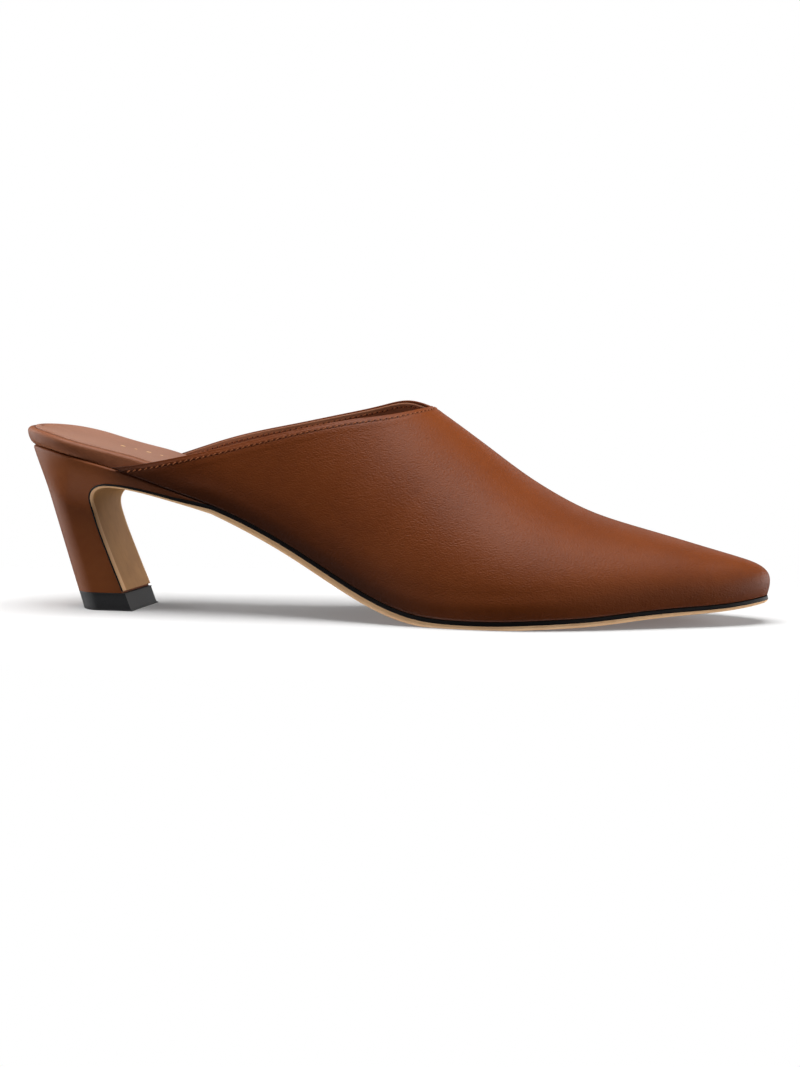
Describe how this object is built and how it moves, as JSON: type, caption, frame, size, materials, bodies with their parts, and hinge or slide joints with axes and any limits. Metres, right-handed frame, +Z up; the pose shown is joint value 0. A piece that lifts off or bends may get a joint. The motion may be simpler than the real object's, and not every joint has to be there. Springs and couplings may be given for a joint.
{
  "type": "mule shoe",
  "caption": "Right mule shoe with a pointed toe, smooth backless leather upper, thin leather sole and a slanted block heel.",
  "frame": {"origin": "middle of the bounding box, on the ground under the shoe", "axes": "+X towards the toe, +Y towards the inner (medial) side, +Z up"},
  "size_m": [0.248, 0.0748, 0.0705],
  "materials": {
    "upper_leather": "smooth calf leather, cognac brown, soft sheen",
    "sock_leather": "smooth lining leather, paler pinkish brown",
    "sole_leather": "natural tan sole leather with a black painted edge",
    "heel_leather": "heel cover in the upper's leather",
    "top_piece_rubber": "matt black"
  },
  "bodies": {
    "root": {"upper": "upper_leather", "insole": "sock_leather", "outsole": "sole_leather", "heel": "heel_leather", "top_piece": "top_piece_rubber"}
  },
  "joints": []
}
